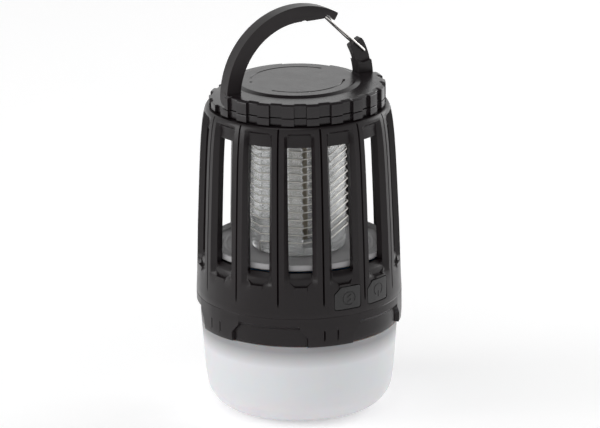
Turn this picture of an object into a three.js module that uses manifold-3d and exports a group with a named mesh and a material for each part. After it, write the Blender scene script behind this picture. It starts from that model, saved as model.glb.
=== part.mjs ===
// Rechargeable camping lantern with an electric insect grid.
// A slotted cage stands on a frosted lamp, and a hooked carrying handle folds into the top cap.
// Millimetres, +Z up. The origin is the middle of the lamp's flat underside, and the handle's
// axle lies along X. Angles are in degrees round Z from +X.

import * as THREE from 'three';
import { mergeVertices } from 'three/addons/utils/BufferGeometryUtils.js';
import Module from 'manifold-3d';

const wasm = await Module();
wasm.setup();

// ---------------------------------------------------------------- driving dimensions

const GAP = 0.3;                  // clearance left between neighbouring pieces
const WALL = 2;                   // usual thickness of a moulded wall

const LAMP_BASE_R = 41.2;         // frosted lamp where its rounded bottom corner ends
const LAMP_TOP_R = 43;            // frosted lamp under the collar
const LAMP_CORNER = 12;           // radius of the rounded bottom corner
const LAMP_TOP_Z = 38.5;
const LAMP_NECK_R = 41;           // neck of the lamp inside the collar
const LAMP_NECK_Z = 46;

const SEAM_Z = 52;                // joint between the collar and the housing
const SEAM_R = 45;                // widest radius of the object
const COLLAR_RECESS_R = 43.3;
const COLLAR_LUGS = 5;
const COLLAR_LUG_HALF = 13.2;       // half the angle that one lug covers
const COLLAR_LUG_PHASE = -102;    // angle of the first lug

const BAND_TOP_Z = 71;            // top of the housing's closed lower band
const WINDOW_TOP_Z = 127.2;
const SHOULDER_Z = 135.9;
const WINDOWS = 14;
const WINDOW_PITCH = 360 / WINDOWS;
const WINDOW_PHASE = -119;        // angle of the first window
const WINDOW_W = 10;
const BAR_DEPTH = 5.1;
const POCKET_Z = 66;              // bottom of the shallow pocket under each window
const POCKET_W = 9.6;
const POCKET_DEPTH = 1.7;

const TRAY_R = 38.9;
const TRAY_Z = 71.3;

const GRID_PHASE = -143;          // direction that the first comb panel faces
const PANEL_W = 19.4;
const PANEL_OFF = 17.8;           // from the axis to the middle of a comb panel
const PANEL_T = 1.5;
const PANEL_Z0 = 75;
const PANEL_NOTCHES = 16;
const NOTCH_PITCH = 3.45;
const NOTCH_DEPTH = 1.1;
const GRID_WIRE_R = 0.35;

const TEETH = 22;                 // grip teeth round the cap
const TOOTH_PITCH = 360 / TEETH;
const TOOTH_PHASE = -109.9;
const TOOTH_DEPTH = 1.3;
const CAP_R = 38.4;
const NECK_Z = 136.2;             // underside of the lower toothed tier
const TIER_Z = 139.9;             // underside of the upper toothed tier
const RIM_Z = 145;                // outer edge of the upper tier
const ANNULUS_Z = 145.7;
const DISC_Z = 146.6;             // raised disc in the middle of the cap
const DISC_R = 25.5;
const BAYONET_R = 26.6;
const BAYONET_TURN = 25;          // how far the cap turns from locked to free

const HANDLE_Z = 143.2;           // height of the handle's axle
const HANDLE_R = 36.6;
const HANDLE_INNER_R = 29.8;
const HANDLE_T = 6;
const HOOK_FLAT_Z = 172.8;        // flat under the top of the hook, where a line hangs
const TIP_ANGLE = 58.2;           // where the hook ends, measured from +X in the XZ plane
const POST_ANGLE = 30;            // where the short post ends
const AXLE_R = 1.5;
const GATE_R = 34.8;              // gate pivot, from the middle of the handle's arc
const GATE_ANGLE = 20.5;
const GATE_WIRE_R = 0.6;
const GATE_TIP = [13.9, 173.1];   // where the gate rests in the notch, X and Z
const NOSE_NOTCH_Z = 174.3;
const GATE_RELIEF_R = 25.6;       // island cut back to here, so that the folded gate can open
const GATE_RELIEF_FROM = 30;
const GATE_RELIEF_TO = 73;
const GATE_RELIEF_Z = 139.6;

const CONTROL_ANGLE = -81;        // direction of the middle between the two buttons
const BUTTON_SPREAD = 10.65;      // angle from that middle to each button
const BUTTON_W = 12.4;
const BUTTON_H = 9.9;
const BUTTON_Z = 59.7;
const SWITCH_Y = -35.5;           // front face of the switch bodies, in the control frame
const PORT_Z = 59;

// ---------------------------------------------------------------- solids

const rad = (degrees) => THREE.MathUtils.degToRad(degrees);

/** Turns a closed three.js geometry into a solid with outward faces. */
function solid(geometry) {
  const bare = geometry.clone();
  bare.deleteAttribute('normal');
  bare.deleteAttribute('uv');
  const merged = mergeVertices(bare, 1e-4);
  const vertices = new Float32Array(merged.attributes.position.array);
  const corner = (i) => new THREE.Vector3().fromArray(vertices, 3 * i);
  const triangles = [];
  let volume = 0;
  for (let i = 0; i < merged.index.count; i += 3) {
    const [a, b, c] = [0, 1, 2].map((k) => merged.index.getX(i + k));
    if (a === b || b === c || c === a) continue;
    triangles.push([a, b, c]);
    volume += corner(a).dot(corner(b).cross(corner(c)));
  }
  if (volume < 0) triangles.forEach((triangle) => triangle.reverse());
  return new wasm.Manifold(new wasm.Mesh({
    numProp: 3, vertProperties: vertices, triVerts: Uint32Array.from(triangles.flat()),
  }));
}

/** Turns a solid back into a three.js geometry. */
function geometryOf(body) {
  const mesh = body.getMesh();
  const geometry = new THREE.BufferGeometry();
  geometry.setAttribute('position', new THREE.BufferAttribute(new Float32Array(mesh.vertProperties), 3));
  geometry.setIndex(new THREE.BufferAttribute(new Uint32Array(mesh.triVerts), 1));
  geometry.computeVertexNormals();
  return geometry;
}

/** Solid of revolution about Z, from [radius, height] points. The first facet starts at an angle. */
function turned(profile, sides, startAngle = 0) {
  const points = profile.map(([r, z]) => new THREE.Vector2(r, z));
  const onAxis = profile[0][0] === 0 && profile[profile.length - 1][0] === 0;
  if (!onAxis) points.push(points[0].clone());
  return solid(new THREE.LatheGeometry(points, sides, rad(startAngle + 90)).rotateX(Math.PI / 2));
}

/** Flat outline in X and Y, raised from z0 to z1. */
function raised(shape, z0, z1, curveSegments = 12) {
  const options = { depth: z1 - z0, bevelEnabled: false, curveSegments };
  return solid(new THREE.ExtrudeGeometry(shape, options).translate(0, 0, z0));
}

function outline(points) {
  return new THREE.Shape(points.map(([x, y]) => new THREE.Vector2(x, y)));
}

/** Part of a ring between two radii and two angles. */
function sector(rIn, rOut, from, to) {
  const shape = new THREE.Shape();
  shape.absarc(0, 0, rOut, rad(from), rad(to), false);
  shape.absarc(0, 0, rIn, rad(to), rad(from), true);
  return shape;
}

function block(x0, x1, y0, y1, z0, z1) {
  const box = new THREE.BoxGeometry(x1 - x0, y1 - y0, z1 - z0);
  return solid(box.translate((x0 + x1) / 2, (y0 + y1) / 2, (z0 + z1) / 2));
}

/** Round rod between two points. */
function rod(from, to, radius, sides = 12) {
  const start = new THREE.Vector3(...from);
  const end = new THREE.Vector3(...to);
  const axis = end.clone().sub(start);
  const geometry = new THREE.CylinderGeometry(radius, radius, axis.length(), sides);
  const along = axis.clone().normalize();
  const turn = new THREE.Quaternion().setFromUnitVectors(new THREE.Vector3(0, 1, 0), along);
  const middle = start.add(end).multiplyScalar(0.5);
  return solid(geometry.applyQuaternion(turn).translate(middle.x, middle.y, middle.z));
}

const spun = (body, angle) => body.rotate([0, 0, angle]);

/** Outline drawn in X and Z, as thick as given and centred on the XZ plane. */
function upright(shape, thickness, curveSegments = 12) {
  const options = { depth: thickness, bevelEnabled: false, curveSegments };
  const geometry = new THREE.ExtrudeGeometry(shape, options);
  return solid(geometry.rotateX(Math.PI / 2).translate(0, thickness / 2, 0));
}

/** A path of straight runs, sampled by corner number so that a sweep bends only at the corners. */
class CornerPath extends THREE.Curve {
  constructor(corners) {
    super();
    this.corners = corners.map((corner) => new THREE.Vector3(...corner));
  }

  getPoint(t) {
    const last = this.corners.length - 1;
    const place = THREE.MathUtils.clamp(t * last, 0, last);
    const index = Math.min(Math.floor(place), last - 1);
    return this.corners[index].clone().lerp(this.corners[index + 1], place - index);
  }

  getPointAt(u) {
    return this.getPoint(u);
  }

  getTangentAt(u) {
    return this.getTangent(u);
  }
}

function bentWire(corners, radius, sides) {
  const section = new THREE.Shape();
  section.absarc(0, 0, radius, 0, 2 * Math.PI, false);
  const options = { extrudePath: new CornerPath(corners), steps: corners.length - 1, curveSegments: sides };
  return solid(new THREE.ExtrudeGeometry(section, options));
}

// ---------------------------------------------------------------- scene graph

const lantern = new THREE.Group();
const controls = new THREE.Group();     // its -Y side faces the space between the buttons
controls.rotation.z = rad(CONTROL_ANGLE + 90);
lantern.add(controls);

const BLACK = { color: 0x2b2a2c, roughness: 0.5, metalness: 0 };
const STEEL = { color: 0xc6c4c0, roughness: 0.25, metalness: 1 };
const CLEAR = { color: 0xdfe3e3, roughness: 0.15, metalness: 0 };
const BOARD = { color: 0x1d3a2c, roughness: 0.5, metalness: 0 };

function add(name, body, look, parent = lantern) {
  const mesh = new THREE.Mesh(geometryOf(body), new THREE.MeshStandardMaterial(look));
  mesh.name = name;
  parent.add(mesh);
}

// ---------------------------------------------------------------- lamp

/** Points of an arc in the [radius, height] plane, for a turned profile. */
function arcPoints(r, z, radius, from, to, steps) {
  const points = [];
  for (let i = 0; i <= steps; i += 1) {
    const angle = rad(from + (to - from) * i / steps);
    points.push([r + radius * Math.cos(angle), z + radius * Math.sin(angle)]);
  }
  return points;
}

function addLamp() {
  const cornerR = LAMP_BASE_R - LAMP_CORNER;
  const outside = arcPoints(cornerR, LAMP_CORNER, LAMP_CORNER, -90, 0, 4);
  const inside = arcPoints(cornerR, LAMP_CORNER, LAMP_CORNER - WALL, 0, -90, 3);
  const diffuser = turned([
    [0, 0], ...outside, [LAMP_TOP_R, LAMP_TOP_Z], [LAMP_NECK_R, LAMP_TOP_Z],
    [LAMP_NECK_R, LAMP_NECK_Z], [LAMP_NECK_R - WALL, LAMP_NECK_Z], ...inside, [0, WALL],
  ], 40);
  add('lamp_diffuser', diffuser, { color: 0xf2f2f6, roughness: 0.35, metalness: 0 });

  const sealInner = LAMP_NECK_R - WALL + 0.2;
  const seal = turned([
    [sealInner, 46.3], [LAMP_NECK_R, 46.3], [LAMP_NECK_R, 47.5], [sealInner, 47.5],
  ], 32);
  add('lamp_seal', seal, { color: 0x8c8c8c, roughness: 0.8, metalness: 0 });
}

function addCollar() {
  const bore = LAMP_NECK_R + GAP;
  const lug = 360 / COLLAR_LUGS;
  let collar = turned([
    [bore, LAMP_TOP_Z + GAP], [SEAM_R - 0.4, LAMP_TOP_Z + GAP], [SEAM_R, SEAM_Z - 10],
    [SEAM_R, SEAM_Z - 0.15], [bore + 1.2, SEAM_Z - 0.15], [bore + 1.2, 48.6], [bore, 48.6],
  ], 60, COLLAR_LUG_PHASE - COLLAR_LUG_HALF);
  const groove = turned([
    [COLLAR_RECESS_R, LAMP_TOP_Z - 1], [SEAM_R + 5, LAMP_TOP_Z - 1], [SEAM_R + 5, SEAM_Z - 3.6],
    [SEAM_R + 0.1, SEAM_Z - 3.6], [COLLAR_RECESS_R, SEAM_Z - 5.4],
  ], 60, COLLAR_LUG_PHASE - COLLAR_LUG_HALF);
  for (let i = 0; i < COLLAR_LUGS; i += 1) {
    const from = COLLAR_LUG_PHASE + i * lug + COLLAR_LUG_HALF;
    const wedge = raised(sector(30, 60, from, from + lug - 2 * COLLAR_LUG_HALF), 30, 60, 4);
    collar = collar.subtract(groove.intersect(wedge));
  }
  add('lamp_collar', collar, BLACK);
}

const CASE_SCREWS = [-37, -143, 37, 143];   // angles in the control frame
const CASE_SCREW_R = 35.4;
const PLATE_Z = 47.8;
const PLATE_TOP = 49.4;

function screwPlace(angle) {
  return [CASE_SCREW_R * Math.cos(rad(angle)), CASE_SCREW_R * Math.sin(rad(angle))];
}

function addLampPlate() {
  let plate = turned([
    [0, PLATE_Z], [LAMP_NECK_R, PLATE_Z], [LAMP_NECK_R, PLATE_TOP], [0, PLATE_TOP],
  ], 40);
  for (const angle of CASE_SCREWS) {
    const [x, y] = screwPlace(angle);
    plate = plate.subtract(rod([x, y, PLATE_Z - 1], [x, y, PLATE_TOP + 1], 1.7, 10));
  }
  for (const x of [-13, 13]) {
    plate = plate.add(rod([x, 25, PLATE_Z + 0.5], [x, 25, 55.1], 2.4, 10));
    plate = plate.subtract(rod([x, 25, 51], [x, 25, 56], 1.1, 8));
  }
  add('lamp_plate', plate, { color: 0xf4f4f2, roughness: 0.4, metalness: 0 }, controls);

  let board = turned([[0, 46], [21, 46], [21, 47.5], [0, 47.5]], 28);
  const ledAngles = [0, 60, 120, 180, 240, 300];
  for (const angle of ledAngles) {
    board = board.add(spun(block(12.6, 17.4, -2.4, 2.4, 44.9, 46.4), angle));
  }
  add('lamp_led_board', board, { color: 0xe9e6d8, roughness: 0.4, metalness: 0 }, controls);

  CASE_SCREWS.forEach((angle, i) => {
    const [x, y] = screwPlace(angle);
    const head = rod([x, y, 45.9], [x, y, PLATE_Z - GAP], 2.5, 10);
    const slot = block(x - 2, x + 2, y - 0.4, y + 0.4, 45, 46.5);
    const shank = rod([x, y, 47], [x, y, 60], 1.35, 10);
    add(`case_screw_${i + 1}`, head.subtract(slot).add(shank), STEEL, controls);
  });
}

// ---------------------------------------------------------------- housing

/** Outer radius of the cage at a height. */
function cageRadius(z) {
  const knots = [[SEAM_Z, SEAM_R], [65, 44.45], [BAND_TOP_Z, 44.4], [93, 43.6], [115, 42.6],
    [WINDOW_TOP_Z, 41.5], [134, 40.5], [SHOULDER_Z, 39.3]];
  const upper = knots.findIndex(([height]) => z <= height);
  if (upper <= 0) return knots[0][1];
  const [z0, r0] = knots[upper - 1];
  const [z1, r1] = knots[upper];
  return r0 + (r1 - r0) * (z - z0) / (z1 - z0);
}

/** Button outline across the wall: a rectangle with one cut corner, in X and Z. */
function buttonOutline(x, grow) {
  const [w, h, cut] = [BUTTON_W / 2 + grow, BUTTON_H / 2 + grow, 3];
  return outline([
    [x - w, BUTTON_Z - h], [x + w, BUTTON_Z - h], [x + w, BUTTON_Z + h],
    [x - w + cut, BUTTON_Z + h], [x - w, BUTTON_Z + h - cut],
  ]);
}

const buttonX = (side) => side * SEAM_R * Math.sin(rad(BUTTON_SPREAD));

/** A prism along Y of a button's outline, between two places on Y. */
function buttonPrism(side, grow, y0, y1) {
  return upright(buttonOutline(buttonX(side), grow), y1 - y0).translate([0, (y0 + y1) / 2, 0]);
}

function addHousingBand() {
  const inner = SEAM_R - WALL - 0.6;
  let band = turned([
    [inner, SEAM_Z + 0.15], [SEAM_R, SEAM_Z + 0.15], [cageRadius(65), 65],
    [cageRadius(BAND_TOP_Z), BAND_TOP_Z], [36.6, BAND_TOP_Z], [36.6, BAND_TOP_Z - 1.6],
    [inner, BAND_TOP_Z - 1.6],
  ], 56, WINDOW_PHASE - WINDOW_PITCH / 2);
  const floor = cageRadius(POCKET_Z) - POCKET_DEPTH;
  for (let i = 0; i < WINDOWS; i += 1) {
    const pocket = block(floor, 50, -POCKET_W / 2, POCKET_W / 2, POCKET_Z, BAND_TOP_Z + 1);
    band = band.subtract(spun(pocket, WINDOW_PHASE + i * WINDOW_PITCH));
  }
  band = spun(band, -CONTROL_ANGLE - 90);
  for (const angle of CASE_SCREWS) {
    const [x, y] = screwPlace(angle);
    band = band.add(rod([x, y, PLATE_TOP + GAP], [x, y, BAND_TOP_Z - 0.8], 3, 12));
    band = band.subtract(rod([x, y, PLATE_TOP - 1], [x, y, 61], 1.65, 8));
  }
  for (const side of [-1, 1]) band = band.subtract(buttonPrism(side, GAP, -50, -38));
  band = band.subtract(block(-5.2, 5.2, 36, 50, PORT_Z - 2.3, PORT_Z + 2.3));
  band = band.subtract(block(-8, 8, 43.2, 50, PORT_Z - 4.5, PORT_Z + 4.5));
  add('housing_band', band, BLACK, controls);
}

function addCage() {
  const lean = Math.tan(rad(WINDOW_PITCH / 2));
  const inset = WINDOW_W / 2 / Math.cos(rad(WINDOW_PITCH / 2));
  const plan = raised(outline([
    [30, inset - 30 * lean], [50, inset - 50 * lean], [50, 50 * lean - inset], [30, 30 * lean - inset],
  ]), 60, 140);
  const heights = [BAND_TOP_Z + GAP, 93, 115, WINDOW_TOP_Z - GAP];
  const side = upright(outline([
    ...heights.map((z) => [cageRadius(z), z]),
    ...heights.toReversed().map((z) => [cageRadius(z) - BAR_DEPTH, z]),
  ]), 12);
  const bar = side.intersect(plan);
  for (let i = 0; i < WINDOWS; i += 1) {
    const angle = WINDOW_PHASE + (i + 0.5) * WINDOW_PITCH;
    add(`cage_bar_${String(i + 1).padStart(2, '0')}`, spun(bar, angle), BLACK);
  }
  const ring = turned([
    [35.6, WINDOW_TOP_Z], [cageRadius(WINDOW_TOP_Z), WINDOW_TOP_Z], [cageRadius(134), 134],
    [cageRadius(SHOULDER_Z), SHOULDER_Z], [35.6, SHOULDER_Z],
  ], 56, WINDOW_PHASE - WINDOW_PITCH / 2);
  add('housing_top_ring', ring, BLACK);
}

function addTray() {
  const tray = turned([
    [0, TRAY_Z], [TRAY_R - 0.6, TRAY_Z], [TRAY_R, TRAY_Z + 0.6], [TRAY_R, TRAY_Z + 3],
    [TRAY_R - 1, TRAY_Z + 3], [TRAY_R - 1.4, TRAY_Z + 1], [0, TRAY_Z + 1],
  ], 44);
  let holed = tray;
  for (const x of [-1, 1]) holed = holed.subtract(rod([x * 17, 3, 70], [x * 17, 3, 74], 1.3, 8));
  add('floor_tray', holed, { color: 0xc9cacc, roughness: 0.4, metalness: 0.3 }, controls);
}

// ---------------------------------------------------------------- insect grid

/** Comb panel with notches down both edges, facing +X. */
function combPanel() {
  const rightEdge = [];
  for (let i = 0; i <= PANEL_NOTCHES; i += 1) {
    const z = PANEL_Z0 + i * NOTCH_PITCH;
    rightEdge.push([PANEL_W / 2, z]);
    if (i < PANEL_NOTCHES) rightEdge.push([PANEL_W / 2 - NOTCH_DEPTH, z + NOTCH_PITCH / 2]);
  }
  const leftEdge = rightEdge.toReversed().map(([x, z]) => [-x, z]);
  const panel = upright(outline([...rightEdge, ...leftEdge]), PANEL_T);
  return panel.rotate([0, 0, 90]).translate([PANEL_OFF, 0, 0]);
}

function addBobbin() {
  const foot = turned([[8, 72.6], [20.4, 72.6], [20.4, PANEL_Z0 + 1], [8, PANEL_Z0 + 1]], 24);
  const head = turned([[9, 128], [22.5, 128], [22.5, 130.9], [9, 130.9]], 24);
  const panel = combPanel();
  let bobbin = foot.add(head);
  for (let i = 0; i < 4; i += 1) bobbin = bobbin.add(spun(panel, GRID_PHASE + i * 90));
  add('grid_bobbin', bobbin, CLEAR);
}

/** Corners of one bare wire, wound round the four panels from its lead up to the last notch. */
function gridWirePath(startTurn) {
  const out = PANEL_OFF + PANEL_T / 2 + GAP + GRID_WIRE_R;
  const half = PANEL_W / 2 + 0.4;
  const cornerAngle = THREE.MathUtils.radToDeg(Math.atan2(half, out));
  const radius = Math.hypot(out, half);
  const angles = [-cornerAngle, cornerAngle];
  const turns = 7;
  const corners = [];
  for (let i = 0; i < turns * 8; i += 1) {
    const quarter = Math.floor(i / 2);
    const swept = quarter * 90 + angles[i % 2];
    const angle = rad(GRID_PHASE + startTurn * 360 + swept);
    const z = PANEL_Z0 + 2.6 + 2 * NOTCH_PITCH * (swept + cornerAngle) / 360;
    corners.push([radius * Math.cos(angle), radius * Math.sin(angle), z]);
  }
  return corners;
}

function addGridWires() {
  ['grid_wire_live', 'grid_wire_return'].forEach((name, i) => {
    const corners = gridWirePath(i / 2);
    const [x, y] = corners[0];
    const lead = [x * 1.002, y * 1.002, 73.2];
    add(name, bentWire([lead, ...corners], GRID_WIRE_R, 3), STEEL);
  });
}

function addUvBoard() {
  const angle = GRID_PHASE;
  const [half, face] = [4.2, 0.8];
  const board = block(-face, face, -half, half, 74.2, 127.4);
  add('uv_board', spun(board, angle), { color: 0x3b3833, roughness: 0.5, metalness: 0 });
  const places = [[1, 92], [1, 112], [-1, 92], [-1, 112]];
  places.forEach(([side, z], i) => {
    const [near, far] = [face + 0.1, face + 1.5];
    const led = block(Math.min(side * near, side * far), Math.max(side * near, side * far),
      -1.8, 1.8, z - 2.5, z + 2.5);
    add(`uv_led_${i + 1}`, spun(led, angle), { color: 0xd9cf9a, roughness: 0.3, metalness: 0 });
  });
}

// ---------------------------------------------------------------- top cap

/** Notches between the grip teeth, from one angle to another. */
function toothGaps(from, to, z0, z1) {
  const quarter = TOOTH_PITCH / 4;
  let gaps = null;
  for (let i = 0; i < TEETH; i += 1) {
    const angle = TOOTH_PHASE + (i + 0.5) * TOOTH_PITCH;
    const turn = THREE.MathUtils.euclideanModulo(angle - from, 360);
    if (turn > to - from) continue;
    const shape = sector(CAP_R - TOOTH_DEPTH, CAP_R + 3, angle - quarter, angle + quarter);
    const gap = raised(shape, z0, z1, 1);
    gaps = gaps ? gaps.add(gap) : gap;
  }
  return gaps;
}

function addNeck() {
  const start = TOOTH_PHASE - TOOTH_PITCH / 4;
  const top = TIER_Z - GAP;
  let neck = turned([
    [BAYONET_R + GAP, top], [CAP_R, top], [CAP_R, NECK_Z], [35.3, NECK_Z], [35.3, 131.2],
    [24.5, 131.2], [24.5, 132.8], [33.2, 132.8], [33.2, 137.6], [BAYONET_R + GAP, 137.6],
  ], 44, start);
  neck = neck.subtract(toothGaps(0, 360, NECK_Z - 1, TIER_Z + 1));
  for (let i = 0; i < 3; i += 1) {
    const angle = i * 120 + BAYONET_TURN;
    neck = neck.subtract(raised(sector(25, 29.3, angle - 12, angle + 12), 137, 141, 3));
  }
  add('cap_neck', neck, BLACK);
}

/** Plan of the upper tier: full radius on the -Y side, and a round island on the +Y side. */
function capPlan() {
  const island = HANDLE_INNER_R - 0.4;
  const front = -HANDLE_T / 2 - 0.5;
  const inner = THREE.MathUtils.radToDeg(Math.asin(front / island));
  const outer = THREE.MathUtils.radToDeg(Math.asin(front / (CAP_R + 2)));
  const shape = new THREE.Shape();
  shape.absarc(0, 0, island, rad(inner), rad(180 - inner), false);
  shape.absarc(0, 0, CAP_R + 2, rad(180 - outer), rad(360 + outer), false);
  return raised(shape, 120, 160, 24);
}

function addCap() {
  const start = TOOTH_PHASE - TOOTH_PITCH / 4;
  let cap = turned([
    [0, TIER_Z], [CAP_R, TIER_Z], [CAP_R, RIM_Z], [CAP_R - 1.4, ANNULUS_Z],
    [DISC_R + 2, ANNULUS_Z], [DISC_R, DISC_Z], [0, DISC_Z],
  ], 44, start);
  cap = cap.subtract(toothGaps(180, 360, TIER_Z - 1, DISC_Z));
  cap = cap.intersect(capPlan());
  const underFront = raised(sector(HANDLE_INNER_R, CAP_R - 3.6, 192, 348), TIER_Z - 1, RIM_Z - 1.6, 12);
  cap = cap.subtract(underFront);
  cap = cap.add(turned([[0, 134], [BAYONET_R, 134], [BAYONET_R, 141], [0, 141]], 32));
  for (let i = 0; i < 3; i += 1) {
    const lug = raised(sector(25, 28.9, i * 120 - 10, i * 120 + 10), 134, 137.3, 3);
    cap = cap.add(lug);
  }
  const rib = block(-22, 22, -3.6, 3.6, 140.6, 150);
  const hollow = turned([[0, 130], [22, 130], [22, DISC_Z - WALL], [0, DISC_Z - WALL]], 24);
  cap = cap.subtract(hollow.subtract(rib));
  cap = cap.subtract(rod([-40, 0, HANDLE_Z], [40, 0, HANDLE_Z], AXLE_R + GAP, 12));
  const gateRelief = sector(GATE_RELIEF_R, HANDLE_INNER_R + 1, GATE_RELIEF_FROM, GATE_RELIEF_TO);
  cap = cap.subtract(raised(gateRelief, GATE_RELIEF_Z, DISC_Z + 1, 6));
  add('top_cap', cap, BLACK);
}

// ---------------------------------------------------------------- handle

const polar = (radius, degrees) => [
  radius * Math.cos(rad(degrees)), HANDLE_Z + radius * Math.sin(rad(degrees)),
];

/** Foot of the handle, rounded about the axle so that it can turn. */
function handleFoot(side) {
  const [near, far] = [side * HANDLE_INNER_R, side * HANDLE_R];
  return rod([near, 0, HANDLE_Z], [far, 0, HANDLE_Z], HANDLE_T / 2, 16);
}

const axleHole = (side) => rod(
  [side * (HANDLE_INNER_R - 2), 0, HANDLE_Z], [side * (HANDLE_R - 0.9), 0, HANDLE_Z], AXLE_R + GAP, 12,
);

function addHandle() {
  const hook = new THREE.Shape();
  hook.absarc(0, HANDLE_Z, HANDLE_R, Math.PI, rad(TIP_ANGLE), true);
  hook.lineTo(...polar(32.8, TIP_ANGLE));
  hook.lineTo(GATE_TIP[0], NOSE_NOTCH_Z);
  hook.lineTo(12, HOOK_FLAT_Z);
  hook.lineTo(3.5, HOOK_FLAT_Z);
  hook.absarc(0, HANDLE_Z, HANDLE_INNER_R, rad(86), Math.PI, false);
  const arm = upright(hook, HANDLE_T, 28).add(handleFoot(-1)).subtract(axleHole(-1));
  add('handle_arm', arm, BLACK);

  const stub = new THREE.Shape();
  stub.absarc(0, HANDLE_Z, HANDLE_R, 0, rad(POST_ANGLE - 1), false);
  stub.absarc(0, HANDLE_Z, HANDLE_INNER_R, rad(POST_ANGLE), 0, true);
  const [pivotX, pivotZ] = polar(GATE_R, GATE_ANGLE);
  let post = upright(stub, HANDLE_T, 6);
  const step = HANDLE_Z + HANDLE_R * Math.sin(rad(13.5));
  for (const [y0, y1] of [[-4, -1.7], [1.7, 4]]) {
    post = post.subtract(block(20, 40, y0, y1, step, 180));
  }
  post = post.subtract(rod([pivotX, -5, pivotZ], [pivotX, 5, pivotZ], GATE_WIRE_R + GAP, 10));
  post = post.add(handleFoot(1)).subtract(axleHole(1));
  add('handle_post', post, BLACK);

  const axleEnd = HANDLE_R - 1.3;
  add('handle_axle', rod([-axleEnd, 0, HANDLE_Z], [axleEnd, 0, HANDLE_Z], AXLE_R, 12), STEEL);
}

/** Sprung wire gate: two legs from the post that meet in the notch under the hook's nose. */
function addGate() {
  const [pivotX, pivotZ] = polar(GATE_R, GATE_ANGLE);
  const [tipX, tipZ] = GATE_TIP;
  const along = (share) => [pivotX + (tipX - pivotX) * share, pivotZ + (tipZ - pivotZ) * share];
  const [bendX, bendZ] = along(0.36);
  const legY = 2.6;
  const leg = (side) => [
    [pivotX, side * 0.5, pivotZ], [pivotX, side * legY, pivotZ],
    [bendX, side * legY, bendZ], [tipX, side * 0.9, tipZ],
  ];
  add('gate_wire', bentWire([...leg(-1), ...leg(1).toReversed()], GATE_WIRE_R, 4), STEEL);
}

// ---------------------------------------------------------------- controls and electronics

function addButtons() {
  const skin = turned([[0, 50], [SEAM_R - 0.25, 50], [SEAM_R - 0.25, 70], [0, 70]], 120);
  const names = ['zap', 'lamp'];
  names.forEach((name, i) => {
    const side = i === 0 ? -1 : 1;
    const x = buttonX(side);
    const flange = block(x - 7, x + 7, -39, -38, BUTTON_Z - 5.8, BUTTON_Z + 5.8);
    const button = buttonPrism(side, 0, -50, -38.2).intersect(skin).add(flange);
    add(`button_${name}`, button, BLACK, controls);

    const [z0, z1] = [BUTTON_Z - 3, BUTTON_Z + 3];
    const box = block(x - 3, x + 3, SWITCH_Y, SWITCH_Y + 3.4, z0, z1);
    const well = rod([x, SWITCH_Y - 1, BUTTON_Z], [x, SWITCH_Y + 1.6, BUTTON_Z], 1.9, 12);
    add(`switch_${name}`, box.subtract(well), { color: 0x8e9094, roughness: 0.4, metalness: 0.4 }, controls);

    const plunger = rod([x, -37.7, BUTTON_Z], [x, SWITCH_Y + 0.4, BUTTON_Z], 1.5, 12);
    add(`plunger_${name}`, plunger, { color: 0x202020, roughness: 0.6, metalness: 0 }, controls);
  });
  const back = SWITCH_Y + 3.4 + GAP;
  add('switch_board', block(-15, 15, back, back + 1.6, 53, 66.4), BOARD, controls);
}

function addElectronics() {
  add('main_board', block(-18, 18, 14, 36, 55.4, 57).subtract(
    rod([-13, 25, 54], [-13, 25, 58], 1.5, 8)).subtract(
    rod([13, 25, 54], [13, 25, 58], 1.5, 8)), BOARD, controls);
  [-13, 13].forEach((x, i) => {
    const head = rod([x, 25, 57.3], [x, 25, 58.9], 2.3, 10);
    add(`board_screw_${i + 1}`, head.add(rod([x, 25, 52], [x, 25, 58], 0.8, 8)), STEEL, controls);
  });
  const potting = { color: 0x1b1b1d, roughness: 0.6, metalness: 0 };
  add('hv_module', block(-9, 9, 15, 31, 57.3, 68), potting, controls);

  const shell = block(-4.5, 4.5, 34.2, 41.6, PORT_Z - 1.7, PORT_Z + 1.6);
  const mouth = block(-4.1, 4.1, 35.2, 42, PORT_Z - 1.3, PORT_Z + 1.2);
  const tongue = block(-3.2, 3.2, 34.6, 41, PORT_Z - 0.4, PORT_Z + 0.3);
  add('charge_port', shell.subtract(mouth).add(tongue), STEEL, controls);

  const [r, z, v] = [9.2, 60.2, -6];
  const cell = rod([-32.5, v, z], [32.5, v, z], r, 20);
  add('battery', cell, { color: 0x2f6fa8, roughness: 0.4, metalness: 0 }, controls);
  const cradle = block(-34.6, 34.6, v - 10, v + 10, PLATE_TOP + GAP, 56.5);
  const seat = rod([-33, v, z], [33, v, z], r + GAP, 20);
  add('battery_cradle', cradle.subtract(seat), { color: 0xe8e8e4, roughness: 0.5, metalness: 0 }, controls);
}

/** Rubber flap over the charging socket, hinged along its lower edge. */
function addPortCover() {
  const skin = turned([[0, 50], [SEAM_R - 0.25, 50], [SEAM_R - 0.25, 70], [0, 70]], 120);
  const plate = block(-7.6, 7.6, 43.5, 50, PORT_Z - 4.1, PORT_Z + 4.1).intersect(skin);
  const plug = block(-3.8, 3.8, 42, 44, PORT_Z - 1, PORT_Z + 0.9);
  add('port_cover', plate.add(plug), { color: 0x1f1f20, roughness: 0.85, metalness: 0 }, controls);
}

addLamp();
addCollar();
addLampPlate();
addHousingBand();
addCage();
addTray();
addBobbin();
addGridWires();
addUvBoard();
addNeck();
addCap();
addHandle();
addGate();
addButtons();
addElectronics();
addPortCover();

export default lantern;
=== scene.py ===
"""Looks of the rechargeable insect-zapper lantern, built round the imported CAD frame.

Pieces are made in millimetres and stored in metres, in the frame of the CAD part:
+Z is up, the origin is the middle of the lamp's underside, angles turn round Z from +X.
"""
import math

import bmesh
import bpy
from mathutils import Matrix, Vector


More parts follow.
